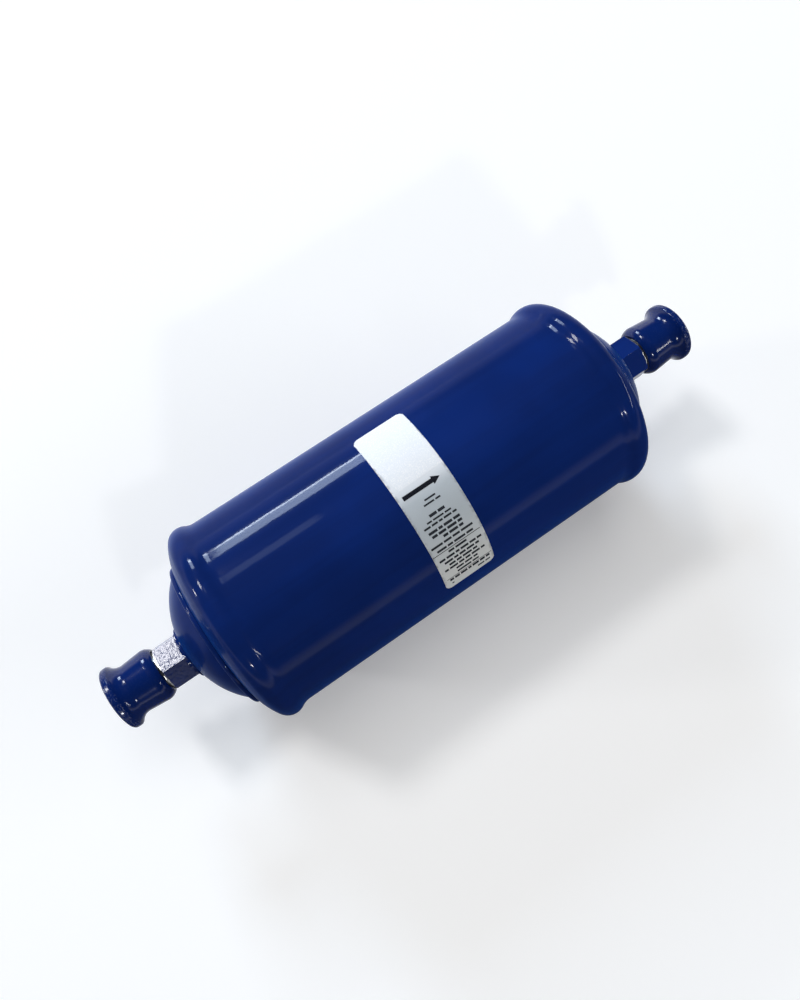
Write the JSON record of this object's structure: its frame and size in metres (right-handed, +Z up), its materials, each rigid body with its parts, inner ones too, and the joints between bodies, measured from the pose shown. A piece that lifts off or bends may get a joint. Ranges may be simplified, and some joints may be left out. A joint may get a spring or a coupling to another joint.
{
  "type": "filter drier",
  "caption": "Sealed cylindrical steel filter drier for a refrigerant liquid line, with a flare fitting and a push-on cap at each end.",
  "frame": {"origin": "centre of the shell, on its axis", "axes": "+X along the shell the way the refrigerant flows, from the inlet to the outlet; +Z up towards the side that carries the upper part of the label; -Y towards the side that the picture is taken from"},
  "size_m": [0.2536, 0.0796, 0.0796],
  "materials": {
    "shell_paint": "gloss",
    "painted_fitting": "gloss",
    "cap_plastic": "gloss",
    "label_film": "satin",
    "spring_steel": "satin",
    "plate_steel": "satin",
    "screen_wire": "satin",
    "glass_fibre": "matte",
    "desiccant_beads": "matte"
  },
  "bodies": {
    "drier": {"shell": "shell_paint", "inlet_dome": "shell_paint", "outlet_dome": "shell_paint", "inlet_seam_weld": "shell_paint", "outlet_seam_weld": "shell_paint", "inlet_fitting": "painted_fitting", "outlet_fitting": "painted_fitting", "inlet_braze_ring": "shell_paint", "outlet_braze_ring": "shell_paint", "name_label": "label_film", "spring": "spring_steel", "pressure_plate": "plate_steel", "inlet_pad": "glass_fibre", "desiccant_charge": "desiccant_beads", "outlet_filter_pad": "glass_fibre", "screen": "screen_wire", "outlet_plate": "plate_steel"},
    "inlet_cap": {"inlet_cap": "cap_plastic"},
    "outlet_cap": {"outlet_cap": "cap_plastic"}
  },
  "joints": [
    {"name": "inlet_cap_pull", "type": "slide", "parent": "drier", "child": "inlet_cap", "axis": [-1, 0, 0], "range_m": [0, 0.03]},
    {"name": "outlet_cap_pull", "type": "slide", "parent": "drier", "child": "outlet_cap", "axis": [1, 0, 0], "range_m": [0, 0.03]}
  ]
}
